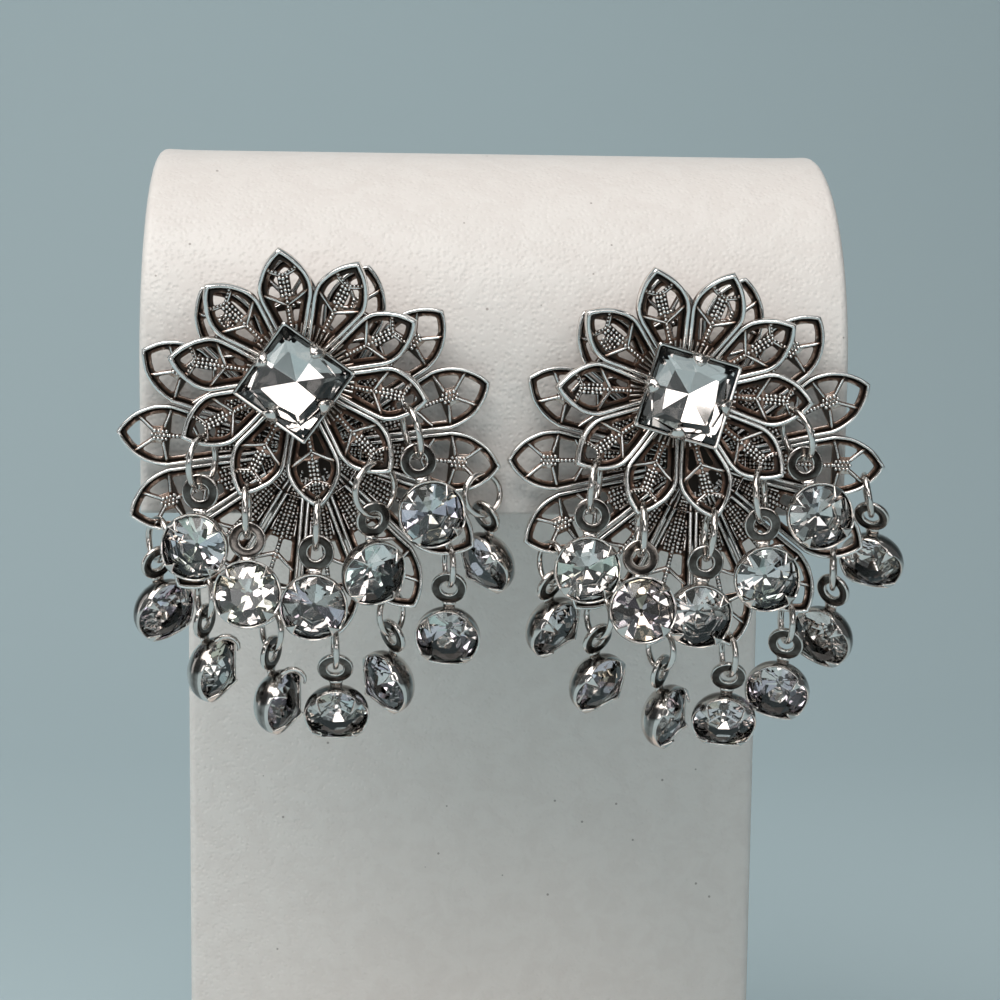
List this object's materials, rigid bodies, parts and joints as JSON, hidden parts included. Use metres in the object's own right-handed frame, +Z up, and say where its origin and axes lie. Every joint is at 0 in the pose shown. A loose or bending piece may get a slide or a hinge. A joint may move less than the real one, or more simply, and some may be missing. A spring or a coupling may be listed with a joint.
{
  "type": "clip-on tassel earring pair on display stand",
  "caption": "Pair of antique-silver clip-on flower earrings with hanging round stones and a square stone in the middle, clipped on the lip of a plain white leatherette display stand.",
  "frame": {"origin": "underside of the stand's foot, below the middle of the rolled top", "axes": "+X to the right seen from the front, -Y towards the viewer, +Z up"},
  "size_m": [0.0787, 0.061, 0.13],
  "materials": {
    "leatherette": "satin, fine grain",
    "antique_silver": "polished rims, dark patina in the recesses",
    "bright_silver": "polished, slightly darkened",
    "crystal": "clear, cut, foil-backed"
  },
  "bodies": {
    "root": {"stand": "leatherette", "left_clip": "bright_silver", "left_back_flower": "antique_silver", "left_front_flower": "antique_silver", "left_square_setting": "bright_silver", "left_square_stone": "crystal", "right_clip": "bright_silver", "right_back_flower": "antique_silver", "right_front_flower": "antique_silver", "right_square_setting": "bright_silver", "right_square_stone": "crystal", "left_front_rings": "bright_silver", "left_back_rings": "bright_silver", "left_back_cups": "bright_silver", "right_front_rings": "bright_silver", "right_back_rings": "bright_silver", "right_back_cups": "bright_silver", "left_front_cup_1": "bright_silver", "left_front_stone_1": "crystal", "left_front_cup_2": "bright_silver", "left_front_stone_2": "crystal", "left_front_cup_3": "bright_silver", "left_front_stone_3": "crystal", "left_front_cup_4": "bright_silver", "left_front_stone_4": "crystal", "left_front_cup_5": "bright_silver", "left_front_stone_5": "crystal", "right_front_cup_1": "bright_silver", "right_front_stone_1": "crystal", "right_front_cup_2": "bright_silver", "right_front_stone_2": "crystal", "right_front_cup_3": "bright_silver", "right_front_stone_3": "crystal", "right_front_cup_4": "bright_silver", "right_front_stone_4": "crystal", "right_front_cup_5": "bright_silver", "right_front_stone_5": "crystal", "left_back_stone_1": "crystal", "left_back_stone_2": "crystal", "left_back_stone_3": "crystal", "left_back_stone_4": "crystal", "left_back_stone_5": "crystal", "left_back_stone_6": "crystal", "left_back_stone_7": "crystal", "right_back_stone_1": "crystal", "right_back_stone_2": "crystal", "right_back_stone_3": "crystal", "right_back_stone_4": "crystal", "right_back_stone_5": "crystal", "right_back_stone_6": "crystal", "right_back_stone_7": "crystal"}
  },
  "joints": []
}
